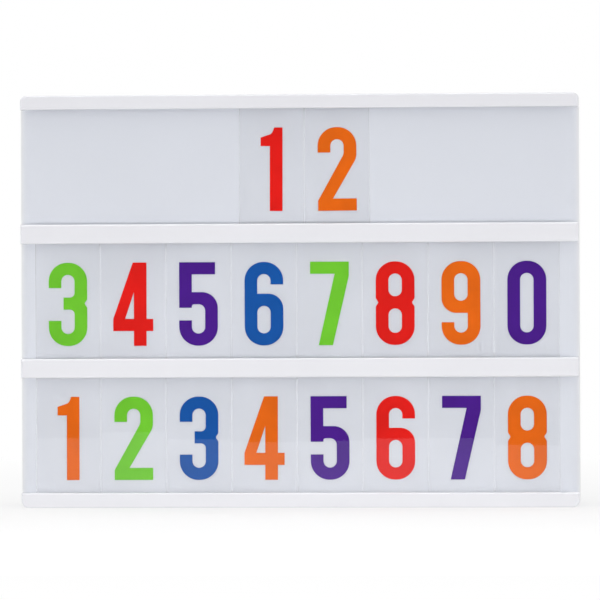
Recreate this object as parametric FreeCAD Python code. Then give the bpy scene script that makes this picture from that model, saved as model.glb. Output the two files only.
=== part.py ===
import FreeCAD, Part
import math
import os

"""Cinema light box of the A4 kind: letter tiles in railed rows over a lit diffuser.

Millimetres, +Z up. X runs along the rows and the rows face -Y. The origin is at the middle of the
footprint, on the surface that the box stands on.
"""

V = FreeCAD.Vector
ALONG_X = V(1, 0, 0)
ALONG_Y = V(0, 1, 0)
ALONG_Z = V(0, 0, 1)

# The whole box
WIDTH = 301.5
HEIGHT = 222.0
DEPTH = 55.0
HALF_WIDTH = WIDTH / 2
FRONT = -DEPTH / 2
BACK = DEPTH / 2
TOP_CORNER_RADIUS = 3.4
BOTTOM_CORNER_RADIUS = 4.0
UPRIGHT_EDGE_RADIUS = 6.0
BACK_EDGE_RADIUS = 2.2
WALL = 2.0
SPLIT = 0.0
SEAM_GAP = 0.3
TONGUE_DEPTH = 2.8
TONGUE_WALL = 0.9
TONGUE_ROOM = 0.1

# Rails and rows
ROW_OPENING = 61.9
BOTTOM_RAIL = 8.0
MIDDLE_RAIL = 10.4
TOP_RAIL = HEIGHT - BOTTOM_RAIL - 2 * MIDDLE_RAIL - 3 * ROW_OPENING
RAIL_HEAD = 3.5
RAIL_EDGE_RADIUS = 1.0
RAIL_HALF = 150.0
RAIL_WRAP = 7.5
LOWER_LIP = 2.0
UPPER_LIP = 3.8
GROOVE_HALF = 142.8
PANEL_FRONT = FRONT + RAIL_HEAD + 1.4
PANEL_BACK = PANEL_FRONT + WALL
LIP_BACK = FRONT + RAIL_HEAD
TAB_PLACES = (-120.0, -40.0, 40.0, 120.0)
TAB_LENGTH = 8.0
TAB_THICK = 1.2
TAB_BARB = 0.4
TAB_ROOM = 0.15

# Letter tiles
TILE_WIDTH = 34.9
TILE_GAP = 0.4
TILE_THICK = 0.8
TILE_FRONT = LIP_BACK + 0.3
TILE_FLOAT = 0.3
TILE_HOLD_TOP = 1.5
TILE_CORNER = 0.8
TILES_IN_ROW = 8
FULL_ROW_LEFT = -142.3
TOP_ROW_LEFTS = (-32.0, 3.3)

# Case screws, in wells at the top and bottom edges
SCREW_PLACES_X = (-138.0, 138.0)
SCREW_PLACES_Z = (6.5, HEIGHT - 6.5)
WELL_RADIUS = 3.2
WELL_WALL = 1.3
POST_HALF = WELL_RADIUS + WELL_WALL
WELL_FLOOR = 3.0
PILOT_RADIUS = 1.5
THREAD_SIDES = 8
POST_FRONT_HALF = 3.2
CASE_SCREW_HEAD = (2.8, 2.0)
CASE_SCREW_SHANK = 14.0
BOARD_SCREW_HEAD = (2.0, 1.3)
BOARD_SCREW_SHANK = 7.0
BOARD_PILOT_RADIUS = 1.1
SHANK_ROOM = 0.05

# Battery bay, six round cells side by side
CELL_RADIUS = 7.1
CELL_LENGTH = 50.5
CELL_NUB_RADIUS = 2.75
CELL_NUB = 1.0
CELL_PITCH = 15.3
CELL_COUNT = 6
BAY_LEFT = -46.5
BAY_RIGHT = 46.5
BAY_BOTTOM = 30.0
BAY_TOP = 88.0
BAY_FLOOR = 8.5
BAY_WALL = 1.5
CELL_Y = BAY_FLOOR + 0.4 + CELL_RADIUS
SKIN_INSIDE = BACK - WALL
LEDGE = 3.0
LEDGE_FACE = SKIN_INSIDE - 0.3
LEDGE_THICK = 1.6
COVER_ROOM = 0.3
COVER_CORNER = 3.0
HOOK_PLACES = (-30.0, 30.0)
HOOK_WIDTH = 8.0

# Sprung latch of the battery cover
LATCH_WIDTH = 13.0
LATCH_STRIP = 1.3
LATCH_INNER_Y = 16.5
LATCH_LEG_GAP = 3.6
POCKET_HALF = 8.3
POCKET_TOP = 99.6
POCKET_FLOOR = 14.2
SCOOP_START = 97.5
SCOOP_RADIUS = 9.5
SCOOP_FLOOR = BACK - 3.0

# Contacts of the cells
PLATE_THICK = 0.4
PLATE_ROOM = 0.1
PLATE_LOW_Y = 9.5
PLATE_HIGH_Y = 22.5
PLATE_HALF = 6.0
BUMP = 0.5
SPRING_WIRE = 0.6
SPRING_TURNS = 2.0
SPRING_SIDES = 4
SPRING_BASE_RADIUS = 3.6
SPRING_TIP_RADIUS = 2.2

# Wall hangers
KEYHOLE_X = 100.0
KEYHOLE_Z = 188.0
KEYHOLE_RADIUS = 4.5
KEYHOLE_SLOT = 4.4
KEYHOLE_RISE = 9.0
HANGER_DEPTH = 12.0

# Light: a reflector sheet with three strips
REFLECTOR_BACK = 3.4
REFLECTOR_THICK = 0.8
REFLECTOR_FRONT = REFLECTOR_BACK - REFLECTOR_THICK
REFLECTOR_HALF = 146.0
REFLECTOR_BOTTOM = 11.8
REFLECTOR_TOP = HEIGHT - 11.8
STRIP_HALF = 132.0
STRIP_HEIGHT = 8.0
STRIP_THICK = 0.4
STRIP_FRONT = REFLECTOR_FRONT - STRIP_THICK
LED_COUNT = 12
LED_PITCH = 22.0
LED_SIZE = (3.5, 1.4, 2.8)
POST_PLACES = ((-122.0, 22.0), (122.0, 22.0), (-122.0, 200.0), (122.0, 200.0))
POST_ARM = 3.0
POST_WEB = 0.7

# Control board with the switch and the power socket
BOARD_LEFT = -120.0
BOARD_RIGHT = -64.0
BOARD_BOTTOM = 45.0
BOARD_TOP = 75.0
BOARD_FRONT = 13.4
BOARD_BACK = 15.0
BOARD_POSTS = ((-116.0, 71.0), (-68.0, 49.0))
SWITCH_X = -80.0
SWITCH_Z = 60.0
SWITCH_TRAVEL = 4.0
KNOB_SIZE = (4.0, 3.6)
KNOB_TIP = BACK - 0.3
SWITCH_BODY = (12.0, 6.4)
SWITCH_BODY_BACK = 24.0
SLOT_SIZE = (8.8, 4.2)
DISH_SIZE = (16.0, 9.0)
DISH_DEPTH = 1.4
SOCKET_X = -104.0
SOCKET_Z = 60.0
SOCKET_BORE = 2.75
SOCKET_PIN = 1.05
SOCKET_DEPTH = 10.0
SOCKET_BARREL = 4.0
SOCKET_ROOM = 0.2

# Internal wires
LEAD_RADIUS = 0.7
LEAD_SIDES = 4
STRIP_LEAD_PLACES = (-116.5, -113.5)
STRIP_LEAD_Z = 45.4
LINK_X = 128.0
LINK_HALF = 2.5
LINK_THICK = 0.3

# Height of each rail's lower edge, from the bottom up, and its height
RAILS = (
    ("bottom_rail", 0.0, BOTTOM_RAIL),
    ("lower_middle_rail", BOTTOM_RAIL + ROW_OPENING, MIDDLE_RAIL),
    ("upper_middle_rail", BOTTOM_RAIL + MIDDLE_RAIL + 2 * ROW_OPENING, MIDDLE_RAIL),
    ("top_rail", HEIGHT - TOP_RAIL, TOP_RAIL),
)
ROW_BOTTOMS = {
    "bottom": BOTTOM_RAIL,
    "middle": BOTTOM_RAIL + ROW_OPENING + MIDDLE_RAIL,
    "top": BOTTOM_RAIL + 2 * ROW_OPENING + 2 * MIDDLE_RAIL,
}


def box(x0, x1, y0, y1, z0, z1):
    """A block between two corners."""
    return Part.makeBox(x1 - x0, y1 - y0, z1 - z0, V(x0, y0, z0))


def rod(x, z, y0, y1, radius):
    """A round rod along Y."""
    return Part.makeCylinder(radius, y1 - y0, V(x, y0, z), ALONG_Y)


def fuse(shapes):
    """One solid from several that touch."""
    return shapes[0].multiFuse(shapes[1:]).removeSplitter()


def cut(shape, tools):
    """A solid less the tools."""
    return shape.cut(tools)


def corner_arc(centre, radius, start, end):
    """An arc in the XZ plane about centre, from start to end degrees from +X."""
    angles = (start, (start + end) / 2, end)
    points = [
        V(
            centre[0] + radius * math.cos(math.radians(a)),
            0,
            centre[1] + radius * math.sin(math.radians(a)),
        )
        for a in angles
    ]
    return Part.Arc(*points).toShape()


def rounded_plate(x0, x1, z0, z1, y0, y1, low_radius, high_radius=None):
    """A plate square to Y whose lower and upper corners are rounded."""
    high = low_radius if high_radius is None else high_radius
    arcs = [
        corner_arc((x1 - low_radius, z0 + low_radius), low_radius, -90, 0),
        corner_arc((x1 - high, z1 - high), high, 0, 90),
        corner_arc((x0 + high, z1 - high), high, 90, 180),
        corner_arc((x0 + low_radius, z0 + low_radius), low_radius, 180, 270),
    ]
    edges = []
    for i, arc in enumerate(arcs):
        edges.append(arc)
        start = arc.lastVertex(True).Point
        end = arcs[(i + 1) % len(arcs)].firstVertex(True).Point
        edges.append(Part.LineSegment(start, end).toShape())
    face = Part.Face(Part.Wire(Part.__sortEdges__(edges)))
    face.translate(V(0, y0, 0))
    return face.extrude(V(0, y1 - y0, 0))


def outline_block(y0, y1, inset=0.0):
    """The front outline of the box as a block between two depths, drawn in by inset."""
    return rounded_plate(
        -HALF_WIDTH + inset,
        HALF_WIDTH - inset,
        inset,
        HEIGHT - inset,
        y0,
        y1,
        max(BOTTOM_CORNER_RADIUS - inset, 0.8),
        max(TOP_CORNER_RADIUS - inset, 0.8),
    )


def bow_fronted_block(inset, y_end):
    """The plan of the front shell, with its rounded upright edges, as a block over the whole height."""
    side = HALF_WIDTH - inset
    front = PANEL_FRONT + inset
    radius = UPRIGHT_EDGE_RADIUS - inset
    slant = radius * (1 - math.sqrt(0.5))
    left = Part.Arc(
        V(-side, front + radius, 0),
        V(-side + slant, front + slant, 0),
        V(-side + radius, front, 0),
    )
    right = Part.Arc(
        V(side - radius, front, 0),
        V(side - slant, front + slant, 0),
        V(side, front + radius, 0),
    )
    edges = [
        Part.LineSegment(V(-side, y_end, 0), V(-side, front + radius, 0)).toShape(),
        left.toShape(),
        Part.LineSegment(V(-side + radius, front, 0), V(side - radius, front, 0)).toShape(),
        right.toShape(),
        Part.LineSegment(V(side, front + radius, 0), V(side, y_end, 0)).toShape(),
        Part.LineSegment(V(side, y_end, 0), V(-side, y_end, 0)).toShape(),
    ]
    return Part.Face(Part.Wire(edges)).extrude(V(0, 0, HEIGHT))


def profile_along_x(points, x0, x1):
    """A closed outline of (y, z) points, extruded along X."""
    corners = [V(x0, y, z) for y, z in points]
    return Part.Face(Part.makePolygon(corners + corners[:1])).extrude(V(x1 - x0, 0, 0))


def prism_along_y(points, y0, y1):
    """A closed outline of (x, z) points, extruded along Y."""
    corners = [V(x, y0, z) for x, z in points]
    return Part.Face(Part.makePolygon(corners + corners[:1])).extrude(V(0, y1 - y0, 0))


def threaded_rod(x, z, y0, y1, radius):
    """A thread along Y, for screws and their holes, as a prism with a few sides."""
    points = []
    for i in range(THREAD_SIDES):
        angle = 2 * math.pi * i / THREAD_SIDES
        points.append((x + radius * math.cos(angle), z + radius * math.sin(angle)))
    return prism_along_y(points, y0, y1)


def bent_tube(points, radius):
    """A thin wire along straight runs joined by tangent arcs, each as large as its runs allow."""
    corners = [V(*p) for p in points]
    share = 0.45
    edges = []
    start = corners[0]
    for before, corner, after in zip(corners, corners[1:], corners[2:]):
        run_in = corner - before
        run_out = after - corner
        half_turn = run_in.getAngle(run_out) / 2
        reach = share * min(run_in.Length, run_out.Length)
        into = V(run_in).normalize()
        out = V(run_out).normalize()
        first = corner - into * reach
        last = corner + out * reach
        bend = reach / math.tan(half_turn)
        inward = V(out - into).normalize()
        middle = corner + inward * (bend / math.cos(half_turn) - bend)
        edges.append(Part.LineSegment(start, first).toShape())
        edges.append(Part.Arc(first, middle, last).toShape())
        start = last
    edges.append(Part.LineSegment(start, corners[-1]).toShape())
    return swept(edges, corners[0], corners[1] - corners[0], radius, LEAD_SIDES)


def swept(edges, start, direction, radius, sides):
    """A section with a few sides, of the given radius at its corners, swept along joined edges."""
    way = V(direction).normalize()
    across = way.cross(ALONG_Z)
    if across.Length < 0.1:
        across = way.cross(ALONG_X)
    across.normalize()
    up = way.cross(across)
    corners = []
    for i in range(sides):
        angle = 2 * math.pi * (i + 0.5) / sides
        corners.append(start + across * (radius * math.cos(angle)) + up * (radius * math.sin(angle)))
    sweep = Part.BRepOffsetAPI.MakePipeShell(Part.Wire(edges))
    sweep.add(Part.makePolygon(corners + corners[:1]))
    sweep.build()
    sweep.makeSolid()
    return sweep.shape()


def biarc(start, start_way, end, end_way):
    """Two tangent arcs between two points with given directions."""
    chord = end - start
    ways = start_way + end_way
    turn = 2 * (1 - start_way.dot(end_way))
    along = chord.dot(ways)
    reach = (math.sqrt(along * along + turn * chord.dot(chord)) - along) / turn
    first_corner = start + start_way * reach
    last_corner = end - end_way * reach
    joint = (first_corner + last_corner) * 0.5
    return [tangent_arc(start, first_corner, joint), tangent_arc(joint, last_corner, end)]


def tangent_arc(start, corner, end):
    """The arc that leaves start towards corner and arrives at end from corner."""
    middle = (start + end) * 0.5
    rise = (corner - middle).Length
    half_chord = (end - start).Length / 2
    angle = math.atan2(rise, half_chord)
    sagitta = half_chord * math.tan(angle / 2)
    return Part.Arc(start, middle + (corner - middle) * (sagitta / rise), end).toShape()


def coil_point(turn, length):
    """Place and direction of the contact spring's wire after a number of turns, about the Z axis."""
    share = turn / SPRING_TURNS
    radius = SPRING_BASE_RADIUS + (SPRING_TIP_RADIUS - SPRING_BASE_RADIUS) * share
    angle = 2 * math.pi * turn
    growth = (SPRING_TIP_RADIUS - SPRING_BASE_RADIUS) / SPRING_TURNS
    climb = (length - SPRING_WIRE) / SPRING_TURNS
    place = V(
        radius * math.cos(angle),
        radius * math.sin(angle),
        SPRING_WIRE / 2 + climb * turn,
    )
    way = V(
        growth * math.cos(angle) - 2 * math.pi * radius * math.sin(angle),
        growth * math.sin(angle) + 2 * math.pi * radius * math.cos(angle),
        climb,
    )
    return place, way.normalize()


def coil_spring(length):
    """A conical contact spring that stands on the XY plane."""
    steps = int(round(4 * SPRING_TURNS))
    places = [coil_point(i / 4, length) for i in range(steps + 1)]
    edges = []
    for (start, start_way), (end, end_way) in zip(places, places[1:]):
        edges.extend(biarc(start, start_way, end, end_way))
    return swept(edges, places[0][0], places[0][1], SPRING_WIRE / 2, SPRING_SIDES)


def spring_gap(length):
    """The least clear distance between neighbouring turns, measured along the coil."""
    samples = 48
    count = int(SPRING_TURNS * samples)
    places = [coil_point(i / samples, length)[0] for i in range(count + 1)]
    least = min(
        (places[i] - places[j]).Length
        for i in range(len(places))
        for j in range(i + samples // 2, len(places))
    )
    return least - SPRING_WIRE


def rail_tabs(z):
    """Barbed tabs on a rail's web, which snap through the front shell."""
    low = z - TAB_THICK / 2
    high = z + TAB_THICK / 2
    barb_start = PANEL_BACK
    tip = PANEL_BACK + 2.4
    outline = (
        (PANEL_FRONT - 0.5, low),
        (tip, low),
        (tip, high - 0.4),
        (barb_start + 0.5, high + TAB_BARB),
        (barb_start, high + TAB_BARB),
        (barb_start, high),
        (PANEL_FRONT - 0.5, high),
    )
    return [
        profile_along_x(outline, x - TAB_LENGTH / 2, x + TAB_LENGTH / 2) for x in TAB_PLACES
    ]


def web_middle(name, low, height):
    """Height of a rail's tabs, in the middle of the web behind its lips."""
    bottom = low if name == "bottom_rail" else low + UPPER_LIP
    top = low + height if name == "top_rail" else low + height - LOWER_LIP
    if name == "bottom_rail":
        bottom = WALL
    if name == "top_rail":
        top = HEIGHT - WALL
    return (bottom + top - TAB_BARB) / 2


def make_rail(name, low, height):
    """A rail with its tile grooves, closed ends that wrap the shell's edges, and snap tabs."""
    high = low + height
    rail = rounded_plate(
        -RAIL_HALF,
        RAIL_HALF,
        0,
        HEIGHT,
        FRONT,
        FRONT + RAIL_WRAP,
        BOTTOM_CORNER_RADIUS,
        TOP_CORNER_RADIUS,
    )
    rail = rail.common(box(-HALF_WIDTH, HALF_WIDTH, FRONT - 1, BACK, low, high))
    front_edges = [
        e
        for e in rail.Edges
        if abs(e.BoundBox.YMin - FRONT) < 1e-6 and abs(e.BoundBox.YMax - FRONT) < 1e-6
    ]
    rail = rail.makeFillet(RAIL_EDGE_RADIUS, front_edges)
    tools = [bow_fronted_block(0.0, BACK)]
    if name != "bottom_rail":
        tools.append(
            box(-GROOVE_HALF, GROOVE_HALF, LIP_BACK, PANEL_FRONT + 1, low - 1, low + UPPER_LIP)
        )
    if name != "top_rail":
        tools.append(
            box(-GROOVE_HALF, GROOVE_HALF, LIP_BACK, PANEL_FRONT + 1, high - LOWER_LIP, high + 1)
        )
    return fuse([cut(rail, tools)] + rail_tabs(web_middle(name, low, height)))


def edge_beyond(z):
    """The middle of the case wall nearest a screw, so that its post joins the wall."""
    return WALL / 2 if z < HEIGHT / 2 else HEIGHT - WALL / 2


def make_front_shell():
    """Milky diffuser panel with side walls, screw posts and the slots of the rails' tabs."""
    outer = bow_fronted_block(0.0, SPLIT).common(outline_block(PANEL_FRONT - 1, SPLIT))
    inner = bow_fronted_block(WALL, SPLIT + 1).common(outline_block(PANEL_BACK, SPLIT + 1, WALL))
    rebate = outline_block(
        SPLIT - TONGUE_DEPTH - TONGUE_ROOM, SPLIT + 1, WALL - TONGUE_WALL - TONGUE_ROOM
    )
    shell = cut(outer, [inner, rebate])
    posts = []
    pilots = []
    for x in SCREW_PLACES_X:
        for z in SCREW_PLACES_Z:
            half = POST_FRONT_HALF
            low, high = sorted((z + math.copysign(half, HEIGHT / 2 - z), edge_beyond(z)))
            posts.append(box(x - half, x + half, PANEL_BACK - 0.5, SPLIT - 3.2, low, high))
            pilots.append(threaded_rod(x, z, PANEL_BACK + 4.0, SPLIT, PILOT_RADIUS))
    slots = []
    for name, low, height in RAILS:
        z = web_middle(name, low, height)
        for x in TAB_PLACES:
            half = TAB_LENGTH / 2 + TAB_ROOM
            slots.append(
                box(
                    x - half,
                    x + half,
                    PANEL_FRONT - 1,
                    PANEL_BACK + 1,
                    z - TAB_THICK / 2 - TAB_ROOM,
                    z + TAB_THICK / 2 + TAB_ROOM,
                )
            )
    return cut(fuse([shell] + posts), pilots + slots)


def make_tile(left, row):
    """One clear tile with clipped corners, standing just off its groove's floor."""
    low = ROW_BOTTOMS[row] - LOWER_LIP + TILE_FLOAT
    high = ROW_BOTTOMS[row] + ROW_OPENING + TILE_HOLD_TOP
    right = left + TILE_WIDTH
    clip = TILE_CORNER
    outline = (
        (left + clip, low),
        (right - clip, low),
        (right, low + clip),
        (right, high - clip),
        (right - clip, high),
        (left + clip, high),
        (left, high - clip),
        (left, low + clip),
    )
    return prism_along_y(outline, TILE_FRONT, TILE_FRONT + TILE_THICK)


def tile_places():
    """Node name, left edge and row of every tile."""
    places = [("tile_top_%d" % (i + 1), x, "top") for i, x in enumerate(TOP_ROW_LEFTS)]
    for row in ("middle", "bottom"):
        for i in range(TILES_IN_ROW):
            left = FULL_ROW_LEFT + i * (TILE_WIDTH + TILE_GAP)
            places.append(("tile_%s_%d" % (row, i + 1), left, row))
    return places


def back_tray():
    """Rear tray without its fittings: back wall, side walls and the tongue of the seam."""
    outer = outline_block(SPLIT + SEAM_GAP, BACK)
    back_edges = [e for e in outer.Edges if abs(e.BoundBox.YMin - BACK) < 1e-6]
    outer = outer.makeFillet(BACK_EDGE_RADIUS, back_edges)
    tongue = outline_block(SPLIT - TONGUE_DEPTH, SPLIT + 1.5, WALL - TONGUE_WALL)
    inner = outline_block(SPLIT - TONGUE_DEPTH - 1, SKIN_INSIDE, WALL)
    return cut(fuse([outer, tongue]), [inner])


def screw_wells():
    """Solid posts and the tools that open them for the case screws."""
    posts = []
    holes = []
    for x in SCREW_PLACES_X:
        for z in SCREW_PLACES_Z:
            low, high = sorted((z + math.copysign(POST_HALF, HEIGHT / 2 - z), edge_beyond(z)))
            posts.append(
                box(x - POST_HALF, x + POST_HALF, SPLIT + 0.4, SKIN_INSIDE + 0.5, low, high)
            )
            holes.append(rod(x, z, WELL_FLOOR, BACK + 1, WELL_RADIUS))
            holes.append(threaded_rod(x, z, SPLIT - 4, WELL_FLOOR + 1, PILOT_RADIUS + 0.2))
    return posts, holes


def battery_bay():
    """The bay's walls with the cover's ledge, and the tools that open it."""
    block = box(
        BAY_LEFT - BAY_WALL,
        BAY_RIGHT + BAY_WALL,
        BAY_FLOOR - BAY_WALL,
        SKIN_INSIDE + 0.5,
        BAY_BOTTOM - BAY_WALL,
        BAY_TOP + BAY_WALL,
    )
    rim = box(
        BAY_LEFT - LEDGE - LEDGE_THICK,
        BAY_RIGHT + LEDGE + LEDGE_THICK,
        LEDGE_FACE - LEDGE_THICK,
        SKIN_INSIDE + 0.5,
        BAY_BOTTOM - LEDGE - LEDGE_THICK,
        BAY_TOP + LEDGE + LEDGE_THICK,
    )
    room = box(BAY_LEFT, BAY_RIGHT, BAY_FLOOR, BACK + 1, BAY_BOTTOM, BAY_TOP)
    recess = rounded_plate(
        BAY_LEFT - LEDGE,
        BAY_RIGHT + LEDGE,
        BAY_BOTTOM - LEDGE,
        BAY_TOP + LEDGE,
        LEDGE_FACE,
        BACK + 1,
        COVER_CORNER,
    )
    hook_slots = [
        box(
            x - HOOK_WIDTH / 2 - 0.5,
            x + HOOK_WIDTH / 2 + 0.5,
            21.0,
            SKIN_INSIDE,
            BAY_BOTTOM - 8.0,
            BAY_BOTTOM + 0.5,
        )
        for x in HOOK_PLACES
    ]
    cradle_half = 0.9
    cradles = [
        box(
            x - cradle_half,
            x + cradle_half,
            BAY_FLOOR - 0.5,
            BAY_FLOOR + 2.2,
            BAY_BOTTOM + 12.0,
            BAY_TOP - 12.0,
        )
        for x in [(i - CELL_COUNT / 2) * CELL_PITCH for i in range(1, CELL_COUNT)]
    ]
    return [block, rim], [room, recess] + hook_slots, cradles


def latch_pocket():
    """The pocket of the cover's latch with its thumb scoop, and the tools that open them."""
    wall = BAY_WALL - 0.2
    pocket = box(
        -POCKET_HALF - wall,
        POCKET_HALF + wall,
        POCKET_FLOOR - wall,
        SKIN_INSIDE + 0.5,
        BAY_TOP,
        POCKET_TOP + wall,
    )
    dish = rod(0, SCOOP_START, SCOOP_FLOOR - wall, SKIN_INSIDE + 0.5, SCOOP_RADIUS + wall)
    dish = dish.common(box(-20, 20, 0, BACK, SCOOP_START, SCOOP_START + 20))
    inside = box(
        -POCKET_HALF,
        POCKET_HALF,
        POCKET_FLOOR,
        SCOOP_FLOOR - wall,
        BAY_TOP + BAY_WALL,
        POCKET_TOP,
    )
    mouth = box(
        -POCKET_HALF,
        POCKET_HALF,
        SCOOP_FLOOR - wall - 1,
        BACK + 1,
        BAY_TOP + BAY_WALL,
        SCOOP_START,
    )
    scoop = rod(0, SCOOP_START, SCOOP_FLOOR, BACK + 1, SCOOP_RADIUS)
    scoop = scoop.common(box(-20, 20, 0, BACK + 2, SCOOP_START - 0.1, SCOOP_START + 20))
    return [pocket, dish], [inside, mouth, scoop]


def hanger(x):
    """The closed pocket behind a keyhole, and the tools that open both."""
    wall = 1.2
    low = KEYHOLE_Z - KEYHOLE_RADIUS - 1.5
    high = KEYHOLE_Z + KEYHOLE_RISE + KEYHOLE_RADIUS + 1.5
    half = KEYHOLE_RADIUS + 1.5
    inner = SKIN_INSIDE - HANGER_DEPTH
    shroud = box(x - half - wall, x + half + wall, inner, SKIN_INSIDE + 0.5, low - wall, high + wall)
    room = box(x - half, x + half, inner + wall, SKIN_INSIDE, low, high)
    entry = rod(x, KEYHOLE_Z, SKIN_INSIDE - 1, BACK + 1, KEYHOLE_RADIUS)
    slot_half = KEYHOLE_SLOT / 2
    slot = box(
        x - slot_half,
        x + slot_half,
        SKIN_INSIDE - 1,
        BACK + 1,
        KEYHOLE_Z,
        KEYHOLE_Z + KEYHOLE_RISE,
    )
    slot_end = rod(x, KEYHOLE_Z + KEYHOLE_RISE, SKIN_INSIDE - 1, BACK + 1, slot_half)
    return [shroud], [room, entry, slot, slot_end]


def socket_and_switch_places():
    """Thickened places for the switch and socket, and their openings."""
    dish_x, dish_z = DISH_SIZE
    slot_x, slot_z = SLOT_SIZE
    pad = box(
        SWITCH_X - dish_x / 2 - 1.5,
        SWITCH_X + dish_x / 2 + 1.5,
        SWITCH_BODY_BACK + 0.2,
        SKIN_INSIDE + 0.5,
        SWITCH_Z - dish_z / 2 - 1.5,
        SWITCH_Z + dish_z / 2 + 1.5,
    )
    dish = rounded_plate(
        SWITCH_X - dish_x / 2,
        SWITCH_X + dish_x / 2,
        SWITCH_Z - dish_z / 2,
        SWITCH_Z + dish_z / 2,
        BACK - DISH_DEPTH,
        BACK + 1,
        2.0,
    )
    slot = box(
        SWITCH_X - slot_x / 2,
        SWITCH_X + slot_x / 2,
        SWITCH_BODY_BACK,
        BACK,
        SWITCH_Z - slot_z / 2,
        SWITCH_Z + slot_z / 2,
    )
    hole = rod(SOCKET_X, SOCKET_Z, SKIN_INSIDE - 1, BACK + 1, SOCKET_BARREL + SOCKET_ROOM)
    return [pad], [dish, slot, hole]


def stiffening_ribs():
    """Low ribs across the inside of the back wall, clear of the bay, board and hangers."""
    depth = 3.0
    half = 0.6
    y0 = SKIN_INSIDE - depth
    y1 = SKIN_INSIDE + 0.5
    edge = HALF_WIDTH - WALL + 0.5
    ribs = [
        box(-edge, edge, y0, y1, z - half, z + half) for z in (140.0, 168.0)
    ]
    ribs += [
        box(x - half, x + half, y0, y1, 140.0, HEIGHT - WALL + 0.5)
        for x in (-60.0, 60.0)
    ]
    ribs += [box(x - half, x + half, y0, y1, 1.5, 140.0) for x in (-56.0, 56.0, 100.0)]
    return ribs


def cross_post(x, z):
    """A post of cross section that carries the reflector."""
    y1 = SKIN_INSIDE + 0.5
    return [
        box(x - POST_ARM, x + POST_ARM, REFLECTOR_BACK, y1, z - POST_WEB, z + POST_WEB),
        box(x - POST_WEB, x + POST_WEB, REFLECTOR_BACK, y1, z - POST_ARM, z + POST_ARM),
    ]


def make_back_shell():
    """Rear tray with its screw wells, battery bay, hangers, posts and openings."""
    posts, well_holes = screw_wells()
    bay, bay_tools, cradles = battery_bay()
    pocket, pocket_tools = latch_pocket()
    hangers = []
    hanger_tools = []
    for x in (-KEYHOLE_X, KEYHOLE_X):
        solids, tools = hanger(x)
        hangers += solids
        hanger_tools += tools
    pads, pad_tools = socket_and_switch_places()
    supports = []
    for x, z in POST_PLACES:
        supports += cross_post(x, z)
    supports += [
        box(x - 2.5, x + 2.5, BOARD_BACK, SKIN_INSIDE + 0.5, z - 2.5, z + 2.5)
        for x, z in BOARD_POSTS
    ]
    pilots = [
        threaded_rod(x, z, BOARD_BACK - 1, BOARD_BACK + 7, BOARD_PILOT_RADIUS)
        for x, z in BOARD_POSTS
    ]
    shell = fuse(
        [back_tray()] + stiffening_ribs() + posts + bay + pocket + hangers + pads + supports
    )
    # Nothing of the wells may stand outside the rounded case.
    shell = shell.common(outline_block(SPLIT - 5, BACK))
    tools = well_holes + bay_tools + pocket_tools + hanger_tools + pad_tools + pilots
    return fuse([cut(shell, tools)] + cradles)


def make_battery_cover():
    """Cover plate with two hook tongues, a stiffening frame and grip grooves."""
    left = BAY_LEFT - LEDGE + COVER_ROOM
    right = BAY_RIGHT + LEDGE - COVER_ROOM
    low = BAY_BOTTOM - LEDGE + COVER_ROOM
    high = BAY_TOP + LEDGE - COVER_ROOM
    plate = rounded_plate(left, right, low, high, SKIN_INSIDE, BACK, COVER_CORNER - COVER_ROOM)
    tongue_back = SKIN_INSIDE - 0.6
    tongue_front = tongue_back - 1.7
    tongues = []
    for x in HOOK_PLACES:
        x0 = x - HOOK_WIDTH / 2
        x1 = x + HOOK_WIDTH / 2
        outline = (
            (SKIN_INSIDE + 0.3, low + 0.3),
            (tongue_back, low + 0.3),
            (tongue_back, low - 3.6),
            (tongue_front + 0.6, low - 4.2),
            (tongue_front, low - 3.6),
            (tongue_front, low + 1.9),
            (SKIN_INSIDE + 0.3, low + 2.5),
        )
        tongues.append(profile_along_x(outline, x0, x1))
    grooves = [
        box(-16.0, 16.0, BACK - 0.5, BACK + 1, z - 0.6, z + 0.6)
        for z in (high - 7.0, high - 10.5, high - 14.0)
    ]
    ribs = [
        box(x - 0.6, x + 0.6, SKIN_INSIDE - 1.2, SKIN_INSIDE + 0.2, BAY_BOTTOM + 3, BAY_TOP - 3)
        for x in (-30.0, 0.0, 30.0)
    ]
    return cut(fuse([plate] + tongues + ribs), grooves)


def make_cover_latch():
    """A strip that runs in, turns back on itself and ends in a catch and a thumb pad."""
    low = BAY_TOP + LEDGE - COVER_ROOM
    first_top = low + LATCH_STRIP
    second_low = first_top + LATCH_LEG_GAP
    second_top = second_low + LATCH_STRIP
    bend_centre = (first_top + second_low) / 2
    outer = bend_centre - low
    inner = bend_centre - first_top
    x0 = -LATCH_WIDTH / 2
    y_bend = LATCH_INNER_Y + outer
    tip = BACK - 0.5

    def point(y, z):
        return V(x0, y, z)

    def line(a, b):
        return Part.LineSegment(point(*a), point(*b)).toShape()

    catch_front = SCOOP_FLOOR - (BAY_WALL - 0.2) - 0.3
    corners = (
        (y_bend, second_top),
        (catch_front - 2.6, second_top),
        (catch_front - 1.0, second_top + 1.3),
        (catch_front, second_top + 1.3),
        (catch_front, second_top),
        (tip - 1.2, second_top),
        (tip, second_top - 0.4),
        (tip, second_low),
        (y_bend, second_low),
    )
    edges = [line(a, b) for a, b in zip(corners, corners[1:])]
    edges.append(
        Part.Arc(
            point(y_bend, second_low), point(y_bend - inner, bend_centre), point(y_bend, first_top)
        ).toShape()
    )
    edges.append(line((y_bend, first_top), (BACK - 0.5, first_top)))
    edges.append(line((BACK - 0.5, first_top), (BACK - 0.5, low)))
    edges.append(line((BACK - 0.5, low), (y_bend, low)))
    edges.append(
        Part.Arc(
            point(y_bend, low), point(y_bend - outer, bend_centre), point(y_bend, second_top)
        ).toShape()
    )
    return Part.Face(Part.Wire(edges)).extrude(V(LATCH_WIDTH, 0, 0))


def cell_x(index):
    """Place of a cell across the bay."""
    return (index - (CELL_COUNT - 1) / 2) * CELL_PITCH


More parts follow.
